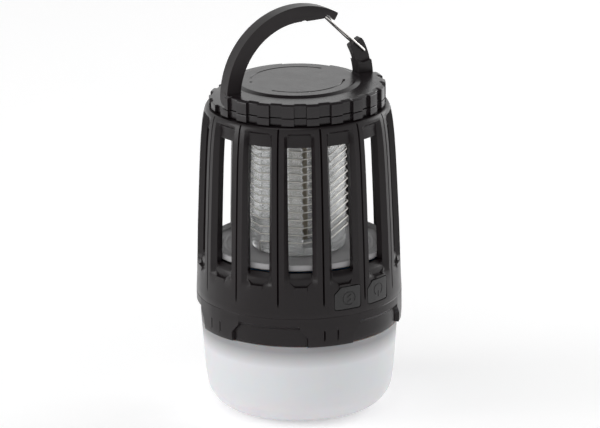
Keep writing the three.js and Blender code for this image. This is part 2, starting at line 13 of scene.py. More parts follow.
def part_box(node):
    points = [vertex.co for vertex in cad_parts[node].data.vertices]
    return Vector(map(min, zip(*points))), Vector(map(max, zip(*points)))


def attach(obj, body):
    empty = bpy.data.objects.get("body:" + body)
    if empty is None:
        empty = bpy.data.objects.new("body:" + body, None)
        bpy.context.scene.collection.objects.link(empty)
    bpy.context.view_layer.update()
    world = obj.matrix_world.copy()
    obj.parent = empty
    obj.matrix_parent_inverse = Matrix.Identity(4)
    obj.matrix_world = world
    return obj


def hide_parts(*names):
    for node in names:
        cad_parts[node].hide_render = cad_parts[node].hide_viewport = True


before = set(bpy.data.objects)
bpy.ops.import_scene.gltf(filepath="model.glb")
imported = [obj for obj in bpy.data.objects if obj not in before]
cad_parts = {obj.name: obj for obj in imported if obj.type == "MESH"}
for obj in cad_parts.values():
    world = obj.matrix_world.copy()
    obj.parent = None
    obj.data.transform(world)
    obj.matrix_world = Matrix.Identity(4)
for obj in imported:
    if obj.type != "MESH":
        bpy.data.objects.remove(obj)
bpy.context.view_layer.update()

MM = 0.001
rad = math.radians


def box_mm(node):
    """Lowest and highest corner of a CAD node, in millimetres."""
    low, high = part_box(node)
    return low / MM, high / MM


# ------------------------------------------------------------------ dimensions, mm and degrees

BAND_LOW, BAND_HIGH = box_mm("housing_band")
RING_LOW, RING_HIGH = box_mm("housing_top_ring")
COLLAR_LOW, COLLAR_HIGH = box_mm("lamp_collar")
LAMP_HIGH = box_mm("lamp_diffuser")[1]
CAP_HIGH = box_mm("top_cap")[1]
NECK_LOW, NECK_HIGH = box_mm("cap_neck")
TRAY_HIGH = box_mm("floor_tray")[1]
BOBBIN_HIGH = box_mm("grid_bobbin")[1]
UV_LOW, UV_HIGH = box_mm("uv_board")

SEAM_R = 45.0
WINDOWS = 14
WINDOW_PITCH = 360 / WINDOWS
WINDOW_PHASE = -119.0
WINDOW_HALF = 5.15
BAR_FACE_HALF = 2.7
BAR_CHAMFER = 2.3
SILL_RISE = 2.2              # how far the slope under a window runs inward
BAR_DEPTH = 5.1
POCKET_Z = 66.0
POCKET_HALF = 4.85
POCKET_DEPTH = 1.7
GROOVE_HALF = 0.42
GROOVE_DEPTH = 1.0
GROOVE_END_Z = 56.6

TEETH = 22
TOOTH_PITCH = 360 / TEETH
TOOTH_PHASE = -109.9
TOOTH_DEPTH = 1.3
CAP_R = 38.4
DISC_R = 25.5
ISLAND_R = 29.4
TIER_Z = 139.9

HANDLE_Z = 143.2
HANDLE_R = 36.6
HANDLE_INNER_R = 29.8
HANDLE_HALF_T = 3.0
TIP_ANGLE = 58.2
POST_ANGLE = 30.0
GATE_R = 34.8
GATE_ANGLE = 20.5
GATE_WIRE_R = 0.6
GATE_TIP = (13.9, 173.1)     # where the gate rests in the notch, X and Z
GATE_BEND = 0.36             # how far along a leg its bend is
GATE_RELIEF_R = 25.6         # the island is cut back to here so that the folded gate can open
GATE_RELIEF = (30.0, 73.0)
GATE_RELIEF_Z = 139.6
DISC_GROOVE_R = 20.3

GRID_PHASE = -143.0
PANEL_HALF = 9.7
PANEL_OFF = 17.8
PANEL_T = 1.5
PANEL_Z0 = 75.0
NOTCHES = 16
NOTCH_PITCH = 3.45
NOTCH_DEPTH = 1.1
GRID_WIRE_R = 0.3

CONTROL_ANGLE = -81.0
BUTTON_SPREAD = 10.65
BUTTON_HALF_W = 6.2
BUTTON_HALF_H = 4.95
BUTTON_Z = 59.7
BUTTON_CUT = 3.0
PORT_Z = 59.0

LUGS = 5
LUG_PHASE = -102.0
LUG_HALF = 13.2
LUG_SPREAD = 4.6
RECESS_DEPTH = 1.7
TICK_ANGLE = 3.9


# ------------------------------------------------------------------ materials

def node(tree, kind, **settings):
    """A new shader node with settings on it, or on its inputs where the name is an input."""
    made = tree.nodes.new(kind)
    for key, value in settings.items():
        if hasattr(made, key):
            setattr(made, key, value)
        else:
            made.inputs[key.replace("_", " ")].default_value = value
    return made


def link(tree, out_node, out_name, in_node, in_name):
    """Joins an output socket to an input socket."""
    tree.links.new(out_node.outputs[out_name], in_node.inputs[in_name])


def material(name, color, rough, metallic=0.0, grain=0.0, grain_scale=2600.0, tint=0.12,
             rough_spread=0.08, wear=0.0, **shader_values):
    """Principled finish with mottled colour, varied roughness, fine bump and worn edges."""
    made = bpy.data.materials.new(name)
    made.use_nodes = True
    tree = made.node_tree
    shader = tree.nodes["Principled BSDF"]
    shader.inputs["Metallic"].default_value = metallic
    for key, value in shader_values.items():
        shader.inputs[key.replace("_", " ")].default_value = value
    place = node(tree, "ShaderNodeTexCoord")
    cloud = node(tree, "ShaderNodeTexNoise", Scale=38.0, Detail=5.0, Roughness=0.6)
    link(tree, place, "Object", cloud, "Vector")
    dark = [c * (1 - tint) for c in color] + [1.0]
    light = [min(1.0, c * (1 + tint)) for c in color] + [1.0]
    ramp = node(tree, "ShaderNodeValToRGB")
    ramp.color_ramp.elements[0].position = 0.3
    ramp.color_ramp.elements[1].position = 0.7
    ramp.color_ramp.elements[0].color = dark
    ramp.color_ramp.elements[1].color = light
    link(tree, cloud, "Fac", ramp, "Fac")
    shade = (ramp, "Color")
    if wear > 0:
        geometry = node(tree, "ShaderNodeNewGeometry")
        edge = node(tree, "ShaderNodeMapRange", clamp=True)
        edge.inputs["From Min"].default_value = 0.52
        edge.inputs["From Max"].default_value = 0.62
        edge.inputs["To Max"].default_value = wear
        link(tree, geometry, "Pointiness", edge, "Value")
        mix = node(tree, "ShaderNodeMix", data_type="RGBA")
        mix.inputs[7].default_value = [min(1.0, 2.2 * c + 0.02) for c in color] + [1.0]
        tree.links.new(edge.outputs["Result"], mix.inputs[0])
        tree.links.new(ramp.outputs["Color"], mix.inputs[6])
        tree.links.new(mix.outputs[2], shader.inputs["Base Color"])
    else:
        link(tree, *shade, shader, "Base Color")
    patch = node(tree, "ShaderNodeTexNoise", Scale=140.0, Detail=4.0)
    link(tree, place, "Object", patch, "Vector")
    spread = node(tree, "ShaderNodeMapRange")
    spread.inputs["To Min"].default_value = max(0.02, rough - rough_spread)
    spread.inputs["To Max"].default_value = min(1.0, rough + rough_spread)
    link(tree, patch, "Fac", spread, "Value")
    link(tree, spread, "Result", shader, "Roughness")
    if grain > 0:
        fine = node(tree, "ShaderNodeTexNoise", Scale=grain_scale, Detail=2.0)
        link(tree, place, "Object", fine, "Vector")
        bump = node(tree, "ShaderNodeBump", Strength=grain, Distance=0.00012)
        link(tree, fine, "Fac", bump, "Height")
        link(tree, bump, "Normal", shader, "Normal")
    return made


def painted_shade_above(look, z_from, z_to, dark):
    """Multiplies a look's base colour by a soft band of painted shade that darkens between two heights in mm.
    """
    tree = look.node_tree
    shader = tree.nodes["Principled BSDF"]
    before = shader.inputs["Base Color"].links[0].from_socket
    place = node(tree, "ShaderNodeTexCoord")
    split = node(tree, "ShaderNodeSeparateXYZ")
    link(tree, place, "Object", split, "Vector")
    height = node(tree, "ShaderNodeMapRange", clamp=True)
    height.inputs["From Min"].default_value = z_from * MM
    height.inputs["From Max"].default_value = z_to * MM
    link(tree, split, "Z", height, "Value")
    mix = node(tree, "ShaderNodeMix", data_type="RGBA", blend_type="MULTIPLY")
    mix.inputs[7].default_value = [dark, dark, dark, 1.0]
    tree.links.new(height.outputs["Result"], mix.inputs[0])
    tree.links.new(before, mix.inputs[6])
    tree.links.new(mix.outputs[2], shader.inputs["Base Color"])


BLACK = material("black_shell", (0.0068, 0.0045, 0.0052), 0.31, grain=0.12, wear=0.2, Specular_IOR_Level=0.27)
# painted sheen: the cap uses a copy of the black shell with a lighter base colour and more specular, so its
# top reads brighter as if catching the light
CAP_BLACK_SHEEN = material("cap_shell", (0.0082, 0.0058, 0.0068), 0.24, grain=0.12, wear=0.2,
                     Specular_IOR_Level=0.4)
BUTTON_BLACK = material("button_rubber", (0.0085, 0.0078, 0.0082), 0.5, grain=0.3, wear=0.25)
FROST = material("frosted_lamp", (0.62, 0.615, 0.635), 0.42, grain=0.08, tint=0.01,
                 Subsurface_Weight=0.35, Subsurface_Scale=0.012)
# painted shade: the diffuser's top, just under the collar, is darkened as if lying in the collar's shadow
painted_shade_above(FROST, 28.5, 36.0, 0.42)
SEAL = material("seal_rubber", (0.19, 0.19, 0.19), 0.8, grain=0.3)
WHITE = material("white_plastic", (0.8, 0.8, 0.78), 0.45, grain=0.1, tint=0.03)
STEEL = material("polished_steel", (0.72, 0.7, 0.68), 0.2, metallic=1.0, grain=0.05,
                 grain_scale=900.0, tint=0.08)
WIRE = material("grid_wire", (0.62, 0.6, 0.57), 0.32, metallic=1.0, grain=0.08,
                grain_scale=1500.0, tint=0.12)
TRAY = material("tray_grey", (0.3, 0.295, 0.3), 0.42, metallic=0.15, grain=0.15, tint=0.05)
CLEAR = material("clear_plastic", (0.93, 0.94, 0.94), 0.2, grain=0.06, tint=0.02,
                 Transmission_Weight=0.75, IOR=1.3)
BOARD = material("circuit_board", (0.17, 0.15, 0.11), 0.5, grain=0.25, grain_scale=1200.0)
BOARD_EDGE = material("board_edge", (0.42, 0.37, 0.27), 0.55, grain=0.25, grain_scale=900.0)
LAMP_BOARD = material("lamp_board", (0.72, 0.7, 0.62), 0.45, grain=0.1, tint=0.04)
CHIP = material("lamp_chip", (0.62, 0.54, 0.27), 0.3, grain=0.05, tint=0.1)
CHIP_BODY = material("chip_body", (0.5, 0.48, 0.42), 0.45, grain=0.05, tint=0.06)
ORANGE = material("film_part", (0.34, 0.15, 0.05), 0.4, grain=0.1)
SWITCH = material("switch_part", (0.25, 0.25, 0.26), 0.4, metallic=0.5, grain=0.1)
BATTERY = material("battery_wrap", (0.03, 0.16, 0.38), 0.35, grain=0.06, tint=0.06)
RUBBER = material("cover_rubber", (0.016, 0.0155, 0.016), 0.7, grain=0.4, grain_scale=1800.0)

NODE_LOOKS = {
    "lamp_seal": SEAL, "lamp_plate": WHITE, "lamp_led_board": LAMP_BOARD, "battery_cradle": WHITE,
    "battery": BATTERY, "hv_module": BUTTON_BLACK, "main_board": BOARD, "switch_board": BOARD,
    "switch_zap": SWITCH, "switch_lamp": SWITCH, "plunger_zap": BUTTON_BLACK,
    "plunger_lamp": BUTTON_BLACK, "charge_port": STEEL, "handle_axle": STEEL,
    "board_screw_1": STEEL, "board_screw_2": STEEL,
    "case_screw_1": STEEL, "case_screw_2": STEEL, "case_screw_3": STEEL, "case_screw_4": STEEL,
}


def dress_cad_nodes():
    """Gives every carried-over CAD node its look."""
    for name, look in NODE_LOOKS.items():
        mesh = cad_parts[name].data
        mesh.materials.clear()
        mesh.materials.append(look)


# ------------------------------------------------------------------ mesh helpers

def polar(radius, degrees, z):
    """Point at a radius and an angle in degrees round Z."""
    return (radius * math.cos(rad(degrees)), radius * math.sin(rad(degrees)), z)


def piece(name, vertices, faces, look, sharp=32.0):
    """A mesh object from points in millimetres, shaded smooth with sharp edges kept."""
    mesh = bpy.data.meshes.new(name)
    mesh.from_pydata([Vector(v) * MM for v in vertices], [], faces)
    bm = bmesh.new()
    bm.from_mesh(mesh)
    bmesh.ops.remove_doubles(bm, verts=bm.verts, dist=2e-7)
    bmesh.ops.recalc_face_normals(bm, faces=bm.faces)
    bm.to_mesh(mesh)
    bm.free()
    mesh.materials.append(look)
    obj = bpy.data.objects.new(name, mesh)
    bpy.context.scene.collection.objects.link(obj)
    smooth(obj, sharp)
    return obj


def smooth(obj, sharp=32.0):
    """Shades smooth, with edges past the sharp angle kept hard."""
    obj.data.polygons.foreach_set("use_smooth", [True] * len(obj.data.polygons))
    obj.data.set_sharp_from_angle(angle=rad(sharp))
    obj.data.update()


def filleted(points, steps=4):
    """Corners of a closed outline, each given as (a, b) or (a, b, radius), with the corners rounded."""
    made = []
    count = len(points)
    for i, point in enumerate(points):
        corner = Vector(point[:2])
        size = point[2] if len(point) > 2 else 0.0
        back = Vector(points[i - 1][:2]) - corner
        ahead = Vector(points[(i + 1) % count][:2]) - corner
        if size <= 0 or back.length < 1e-6 or ahead.length < 1e-6:
            made.append(tuple(corner))
            continue
        half = back.angle(ahead) / 2
        reach = min(size / math.tan(half), 0.48 * back.length, 0.48 * ahead.length)
        radius = reach * math.tan(half)
        middle = (back.normalized() + ahead.normalized()).normalized()
        centre = corner + middle * (radius / math.sin(half))
        first = corner + back.normalized() * reach - centre
        last = corner + ahead.normalized() * reach - centre
        turn = first.angle_signed(last)
        for k in range(steps + 1):
            swing = -turn * k / steps
            c, s = math.cos(swing), math.sin(swing)
            made.append((centre.x + first.x * c - first.y * s, centre.y + first.x * s + first.y * c))
    return made


def turned(name, profile, look, segments=192, sharp=32.0):
    """A solid of revolution round Z from a closed outline of (radius, height)."""
    count = len(profile)
    vertices = [polar(max(r, 0.0), 360 * j / segments, z) for j in range(segments) for r, z in profile]
    faces = []
    for j in range(segments):
        for i in range(count):
            a, b = j * count + i, j * count + (i + 1) % count
            c = (j + 1) % segments * count + (i + 1) % count
            d = (j + 1) % segments * count + i
            if profile[i][0] <= 0 and profile[(i + 1) % count][0] <= 0:
                continue
            faces.append((a, b, c, d))
    return piece(name, vertices, faces, look, sharp)


def prism(name, outline, low, high, look, axis="z", sharp=32.0):
    """A straight solid from a closed outline, between two places along axis z or y."""
    count = len(outline)
    if axis == "z":
        vertices = [(a, b, t) for t in (low, high) for a, b in outline]
    else:
        vertices = [(a, t, b) for t in (low, high) for a, b in outline]
    faces = [tuple(range(count)), tuple(range(2 * count - 1, count - 1, -1))]
    faces += [(i, (i + 1) % count, count + (i + 1) % count, count + i) for i in range(count)]
    return piece(name, vertices, faces, look, sharp)


def tube(name, points, radius, look, sides=10, corner=0.0):
    """A round bar along a path of points in millimetres, with closed ends and rounded corners."""
    path = [Vector(p) for p in points]
    if corner > 0:
        eased = [path[0]]
        for before, here, after in zip(path, path[1:], path[2:]):
            back, ahead = before - here, after - here
            reach = min(corner, 0.45 * back.length, 0.45 * ahead.length)
            start, end = here + back.normalized() * reach, here + ahead.normalized() * reach
            for k in range(5):
                t = k / 4
                eased.append(start * (1 - t) ** 2 + here * (2 * t * (1 - t)) + end * t * t)
        path = eased + [path[-1]]
    vertices, faces = [], []
    across = None
    for i, point in enumerate(path):
        along = (path[min(i + 1, len(path) - 1)] - path[max(i - 1, 0)]).normalized()
        if across is None:
            across = along.orthogonal().normalized()
        across = (across - along * across.dot(along)).normalized()
        other = along.cross(across)
        for k in range(sides):
            turn = 2 * math.pi * k / sides
            vertices.append(point + (across * math.cos(turn) + other * math.sin(turn)) * radius)
        if i:
            for k in range(sides):
                a, b = (i - 1) * sides + k, (i - 1) * sides + (k + 1) % sides
                faces.append((a, b, b + sides, a + sides))
    faces.append(tuple(range(sides - 1, -1, -1)))
    faces.append(tuple(range(len(vertices) - sides, len(vertices))))
    return piece(name, vertices, faces, look, 50.0)


def joined(name, parts):
    """Several objects joined into the first one."""
    bm = bmesh.new()
    slots = []
    for part in parts:
        first = len(slots)
        slots += list(part.data.materials)
        start = len(bm.faces)
        bm.from_mesh(part.data)
        bm.faces.ensure_lookup_table()
        for face in bm.faces[start:]:
            face.material_index += first
    keep = parts[0]
    bm.to_mesh(keep.data)
    bm.free()
    keep.data.materials.clear()
    for look in slots:
        keep.data.materials.append(look)
    for part in parts[1:]:
        bpy.data.objects.remove(part)
    keep.name = name
    return keep


def baked(obj):
    """Applies the object's modifiers to its mesh."""
    depsgraph = bpy.context.evaluated_depsgraph_get()
    mesh = bpy.data.meshes.new_from_object(obj.evaluated_get(depsgraph))
    obj.modifiers.clear()
    obj.data = mesh
    return obj


def combined(obj, other, operation="DIFFERENCE", sharp=32.0):
    """Boolean of obj with other, which is then removed."""
    change = obj.modifiers.new("cut", "BOOLEAN")
    change.operation = operation
    change.solver = "EXACT"
    change.object = other
    bpy.context.view_layer.update()
    baked(obj)
    bpy.data.objects.remove(other)
    smooth(obj, sharp)
    return obj


def eased(obj, width, segments=2, angle=30.0):
    """Small rounded edges, as on a moulding."""
    bevel = obj.modifiers.new("edges", "BEVEL")
    bevel.width = width * MM
    bevel.segments = segments
    bevel.limit_method = "ANGLE"
    bevel.angle_limit = rad(angle)
    bevel.harden_normals = True
    return obj


def spun(obj, degrees):
    """Turns an object round Z by degrees."""
    obj.data.transform(Matrix.Rotation(rad(degrees), 4, "Z"))
    return obj


def fitted(obj, body, slot, *nodes):
    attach(obj, body)
    if nodes:
        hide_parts(*nodes)
    return obj


def blend_steps(value, low, high):
    """Zero below low, one above high, straight between."""
    return min(1.0, max(0.0, (value - low) / (high - low)))


# ------------------------------------------------------------------ sheets round the axis

def polar_sheet(name, rows, columns, outer, inner, is_open, look, sharp=32.0):
    """A closed ring-shaped wall: outer and inner faces over rows of heights and columns round Z.

    outer and inner give (radius, angle) at a row and a column; is_open leaves a cell out.
    """
    wide, tall = len(columns), len(rows)
    vertices = []
    for face in (outer, inner):
        for z in rows:
            for column in columns:
                radius, angle = face(z, column)
                vertices.append(polar(radius, angle, z))
    back = wide * tall

    def at(i, j, side=0):
        return side * back + i * wide + j % wide

    faces = []
    for i in range(tall - 1):
        for j in range(wide):
            if is_open(rows[i], rows[i + 1], columns[j]):
                if not is_open(rows[i], rows[i + 1], columns[(j - 1) % wide]):
                    faces.append((at(i, j), at(i + 1, j), at(i + 1, j, 1), at(i, j, 1)))
                if not is_open(rows[i], rows[i + 1], columns[(j + 1) % wide]):
                    faces.append((at(i, j + 1), at(i, j + 1, 1), at(i + 1, j + 1, 1), at(i + 1, j + 1)))
                if i == 0 or not is_open(rows[i - 1], rows[i], columns[j]):
                    faces.append((at(i, j), at(i, j, 1), at(i, j + 1, 1), at(i, j + 1)))
                if i == tall - 2 or not is_open(rows[i + 1], rows[i + 2], columns[j]):
                    faces.append((at(i + 1, j), at(i + 1, j + 1), at(i + 1, j + 1, 1), at(i + 1, j, 1)))
                continue
            faces.append((at(i, j), at(i, j + 1), at(i + 1, j + 1), at(i + 1, j)))
            faces.append((at(i, j, 1), at(i + 1, j, 1), at(i + 1, j + 1, 1), at(i, j + 1, 1)))
    for j in range(wide):
        faces.append((at(0, j), at(0, j, 1), at(0, j + 1, 1), at(0, j + 1)))
        faces.append((at(tall - 1, j), at(tall - 1, j + 1), at(tall - 1, j + 1, 1), at(tall - 1, j, 1)))
    return piece(name, vertices, faces, look, sharp)


def between(table, value):
    """Straight interpolation in a table of (place, value)."""
    for (x0, y0), (x1, y1) in zip(table, table[1:]):
        if value <= x1:
            return y0 + (y1 - y0) * (value - x0) / (x1 - x0) if value > x0 else y0
    return table[-1][1]


# ------------------------------------------------------------------ housing

CAGE_PROFILE = [
    (52.0, 43.9), (52.4, SEAM_R), (58, 44.75), (65, 44.5), (71, 44.35), (82, 44.05), (93, 43.6), (104, 43.15),
    (115, 42.6), (122, 42.15), (128.5, 41.5), (131.5, 41.0), (133.6, 40.55), (134.9, 40.1), (135.6, 39.7),
    (135.9, 39.3),
]
WINDOW_Z = (BAND_HIGH.z, RING_LOW.z)
CAGE_ROWS = [
    BAND_LOW.z, 52.4, 55, GROOVE_END_Z, 57.4, 58.6, 61, 64, 65.85, POCKET_Z, 66.6, 67.3, 67.9, 68.85,
    69.0, 70.0,
    WINDOW_Z[0], 72.2, 75, 82, 90, 98, 106, 114, 121, 125, 126.8, WINDOW_Z[1], 127.5, 130, 131.6, 132.6,
    133.6,
    134.4, 134.9, 135.3, 135.6, RING_HIGH.z,
]


def cage_columns():
    """Columns of one turn: (kind, middle angle, place across in mm or as a share)."""
    columns = []
    for i in range(WINDOWS):
        window = WINDOW_PHASE + i * WINDOW_PITCH
        for place in (-1, "-edge", "-in", -0.5, 0, 0.5, "+in", "+edge", 1):
            columns.append(("window", window, place))
        bar = window + WINDOW_PITCH / 2
        for place in (-BAR_FACE_HALF, -1.7, -GROOVE_HALF, 0.0, GROOVE_HALF, 1.7, BAR_FACE_HALF):
            columns.append(("bar", bar, place))
    return columns


def pocket_half(z):
    """Half the pocket's width, less where its bottom corners are cut."""
    return POCKET_HALF - max(0.0, min(1.9, POCKET_Z + 1.9 - z))


def across(column, z):
    """Place of a column across its window or bar, in millimetres."""
    place = column[2]
    if isinstance(place, str):
        inset = 0.28 if place.endswith("in") else 0.0
        size = pocket_half(z) - inset
        return size if place[0] == "+" else -size
    return place * WINDOW_HALF if column[0] == "window" and abs(place) == 1 else (
        place * pocket_half(z) if column[0] == "window" else place)


def cage_outer(z, column):
    """Radius and angle of the cage's outer face at a height and column."""
    radius = between(CAGE_PROFILE, z)
    place = column[2]
    depth = 0.0
    chamfer = BAR_CHAMFER * blend_steps(z, 64.0, 69.5) * (1 - blend_steps(z, 131.0, 134.0))
    if column[0] == "window":
        rim = isinstance(place, str) and place.endswith("edge") or place in (-1, 1)
        if rim:
            depth = chamfer
        elif z >= POCKET_Z and z < 68.9:
            depth = max(POCKET_DEPTH, chamfer)
        elif z >= 68.9 and z < WINDOW_Z[0] + 0.01:
            depth = max(POCKET_DEPTH + SILL_RISE * blend_steps(z, 68.6, WINDOW_Z[0]), chamfer)
        elif z >= WINDOW_Z[1] - 0.01:
            depth = max(1.55 * (1 - blend_steps(z, 132.6, 133.6)), chamfer)
    elif place == 0.0:
        depth = GROOVE_DEPTH * blend_steps(z, GROOVE_END_Z, GROOVE_END_Z + 2.0)
        depth *= 1 - blend_steps(z, 134.9, 135.6)
    half = across(column, z)
    if column[0] == "bar" and abs(place) == GROOVE_HALF:
        half *= max(0.05, blend_steps(z, GROOVE_END_Z, GROOVE_END_Z + 2.0))
    radius -= depth
    return radius, column[1] + math.degrees(math.asin(half / radius))


def cage_inner(z, column):
    """Radius and angle of the cage's inner face at a height and column."""
    if z < 68.9:
        radius = between(CAGE_PROFILE, z) - 2.6
    elif z < WINDOW_Z[1] - 0.01:
        radius = between(CAGE_PROFILE, z) - BAR_DEPTH
    else:
        radius = 35.6
    return radius, column[1] + math.degrees(math.asin(across(column, z) / radius))


def cage_is_open(z0, z1, column):
    """Whether a cell of the cage wall is part of a window."""
    inside = column[0] == "window" and column[2] != 1
    return inside and z0 >= WINDOW_Z[0] - 0.01 and z1 <= WINDOW_Z[1] + 0.01


def button_outline(x, grow):
    """Outline of a button with one cut corner, grown by a margin."""
    w, h, cut = BUTTON_HALF_W + grow, BUTTON_HALF_H + grow, BUTTON_CUT
    corner = 1.0 + grow
    return filleted([
        (x - w, BUTTON_Z - h, corner), (x + w, BUTTON_Z - h, corner), (x + w, BUTTON_Z + h, corner),
        (x - w + cut, BUTTON_Z + h, 0.7), (x - w, BUTTON_Z + h - cut, 0.7),
    ])


def button_x(side):
    return side * SEAM_R * math.sin(rad(BUTTON_SPREAD))


def build_housing():
    """The slotted cage, with its band and shoulder."""
    housing = polar_sheet("cage_housing", CAGE_ROWS, cage_columns(), cage_outer, cage_inner,
                          cage_is_open, BLACK, 28.0)
    for side in (-1, 1):
        hole = prism("hole", button_outline(button_x(side), 0.3), -60, -30, BLACK, "y")
        combined(housing, spun(hole, CONTROL_ANGLE + 90), sharp=28.0)
    recess = prism("recess", filleted([(-8, PORT_Z - 4.5, 1.2), (8, PORT_Z - 4.5, 1.2),
                                       (8, PORT_Z + 4.5, 1.2), (-8, PORT_Z + 4.5, 1.2)]), 43.2, 60, BLACK,
                                       "y")
    combined(housing, spun(recess, CONTROL_ANGLE + 90), sharp=28.0)
    mouth = prism("mouth", filleted([(-5.2, PORT_Z - 2.3, 1.2), (5.2, PORT_Z - 2.3, 1.2),
                                     (5.2, PORT_Z + 2.3, 1.2), (-5.2, PORT_Z + 2.3, 1.2)]), 36, 60, BLACK,
                                     "y")
    combined(housing, spun(mouth, CONTROL_ANGLE + 90), sharp=28.0)
    bars = ["cage_bar_%02d" % (i + 1) for i in range(WINDOWS)]
    fitted(housing, "lantern", "black_shell", "housing_band", "housing_top_ring", *bars)


# ------------------------------------------------------------------ collar and lamp

COLLAR_ROWS = [COLLAR_LOW.z, 39.1, 40.9, 41.3, 41.9, 42.5, 43.4, 44.4, 45.4, 45.9, 46.3, 46.6, 47.2, 47.9,
               48.4, 50,
               51.6, COLLAR_HIGH.z]
RECESS_TOP = 48.2


def lug_half(z):
    """Half the angle of a lug: its lower corners are cut at a slant."""
    return LUG_HALF + LUG_SPREAD * blend_steps(z, 43.0, 46.8)


def collar_columns():
    columns = []
    gap = 360 / LUGS
    for i in range(LUGS):
        middle = LUG_PHASE + i * gap
        for place in ("-edge", -8, -TICK_ANGLE - 0.5, -TICK_ANGLE, -TICK_ANGLE + 0.5, -1.5, 1.5,
                      TICK_ANGLE - 0.5, TICK_ANGLE, TICK_ANGLE + 0.5, 8, "+edge"):
            columns.append(("lug", middle, place))
        for k in range(9):
            columns.append(("recess", middle + gap / 2, k / 4 - 1))
    return columns


def collar_outer(z, column):
    kind, middle, place = column
    radius = between([(38.5, 44.45), (39.1, 44.75), (42, 44.95), (51.6, SEAM_R), (52, 44.75)], z)
    half_gap = 180 / LUGS
    if kind == "lug":
        if isinstance(place, str):
            angle = lug_half(z) if place[0] == "+" else -lug_half(z)
        else:
            angle = place
            if abs(place) == TICK_ANGLE:
                radius -= 0.55 * blend_steps(z, 41.2, 41.6) * (1 - blend_steps(z, 45.7, 46.1))
        return radius, middle + angle
    room = half_gap - lug_half(z) - 0.55
    radius -= RECESS_DEPTH * (1 - blend_steps(z, 46.6, RECESS_TOP + 0.2))
    return radius, middle + room * place


def collar_inner(z, column):
    _, angle = collar_outer(z, column)
    return (41.3 if z < 48.6 else 42.5), angle


def build_collar():
    """The collar ring with its five lugs."""
    collar = polar_sheet("lamp_collar_ring", COLLAR_ROWS, collar_columns(), collar_outer, collar_inner,
                         lambda *cell: False, BLACK, 26.0)
    fitted(collar, "lantern", "black_shell", "lamp_collar")


def build_lamp():
    """The frosted diffuser that the lantern stands on."""
    profile = filleted([
        (0, 0.0), (29.2, 0.0, 2.0), (36.2, 2.2, 10.0), (40.2, 8.2, 10.0), (41.4, 16.0, 20.0),
        (43.0, 38.5, 0.3),
        (41.0, 38.5), (41.0, LAMP_HIGH.z, 0.4), (39.0, LAMP_HIGH.z, 0.4), (39.0, 14.0, 9.0),
        (27.0, 2.0, 5.0), (0, 2.0),
    ], 6)
    fitted(turned("lamp_shade", profile, FROST), "lantern", "frosted_lamp", "lamp_diffuser")


# ------------------------------------------------------------------ tray, grid and lamp board

def build_tray():
    """The floor tray inside the cage."""
    top = TRAY_HIGH.z
    profile = filleted([
        (0, 71.3), (38.3, 71.3, 0.4), (38.9, 71.9, 0.4), (38.9, top, 0.35), (37.9, top, 0.35),
        (37.5, 72.5, 0.6), (33.5, 72.3, 0.3), (33.0, 72.6, 0.3), (31.6, 72.6, 0.3), (31.1, 72.3, 0.3),
        (0, 72.3),
    ])
    fitted(turned("insect_tray", profile, TRAY), "lantern", "tray_grey", "floor_tray")


def panel_outline():
    """Comb panel across its width and height, with rounded lobes between the notches."""
    edge = [(PANEL_HALF - 0.5, PANEL_Z0 - 1.0)]
    for i in range(NOTCHES + 1):
        z = PANEL_Z0 + i * NOTCH_PITCH
        low = -70 if i else -90
        for k in range(5):
            turn = rad(low + (70 - low) * k / 4)
            edge.append((PANEL_HALF - NOTCH_DEPTH + NOTCH_DEPTH * math.cos(turn),
                         z + 0.46 * NOTCH_PITCH * math.sin(turn)))
    edge.append((PANEL_HALF - 0.8, BOBBIN_HIGH.z - 2.6))
    return edge + [(-x, z) for x, z in reversed(edge)]


def build_bobbin():
    """The clear comb frame with four notched panels."""
    parts = [
        turned("foot", filleted([(8, 72.6), (20.4, 72.6, 0.4), (20.4, 76, 0.4), (8, 76)]), CLEAR, 96),
        turned("head", filleted([(9, 128), (22.5, 128, 0.5), (22.5, 130.9, 0.5), (9, 130.9)]), CLEAR, 96),
    ]
    outline = panel_outline()
    for i in range(4):
        panel = prism("panel", outline, PANEL_OFF - PANEL_T / 2, PANEL_OFF + PANEL_T / 2, CLEAR, "y")
        parts.append(spun(panel, GRID_PHASE + i * 90 - 90))
    fitted(joined("grid_frame", parts), "lantern", "clear_plastic", "grid_bobbin")


def grid_wire_path(start_turn):
    out = PANEL_OFF + PANEL_T / 2 + 0.65
    half = PANEL_HALF + 0.35
    corner = math.degrees(math.atan2(half, out))
    radius = math.hypot(out, half)
    points = []
    for i in range(7 * 8):
        swept = i // 2 * 90 + (-corner if i % 2 == 0 else corner)
        z = PANEL_Z0 + 2.6 + 2 * NOTCH_PITCH * (swept + corner) / 360
        points.append(polar(radius, GRID_PHASE + start_turn * 360 + swept, z))
    first = points[0]
    return [(first[0] * 1.002, first[1] * 1.002, 73.2)] + points


def build_grid_wires():
    """The two bare wires wound on the comb."""
    for name, start in (("grid_wire_live", 0.0), ("grid_wire_return", 0.5)):
        wire = tube(name + "_round", grid_wire_path(start), GRID_WIRE_R, WIRE, 8, 0.5)
        fitted(wire, "lantern", "grid_wire", name)


def block(name, x0, x1, y0, y1, z0, z1, look, edge=0.15):
    """A box between two corners, with rounded edges if asked."""
    made = prism(name, filleted([(x0, y0, edge), (x1, y0, edge), (x1, y1, edge), (x0, y1, edge)], 2),
                 z0, z1, look)
    return made


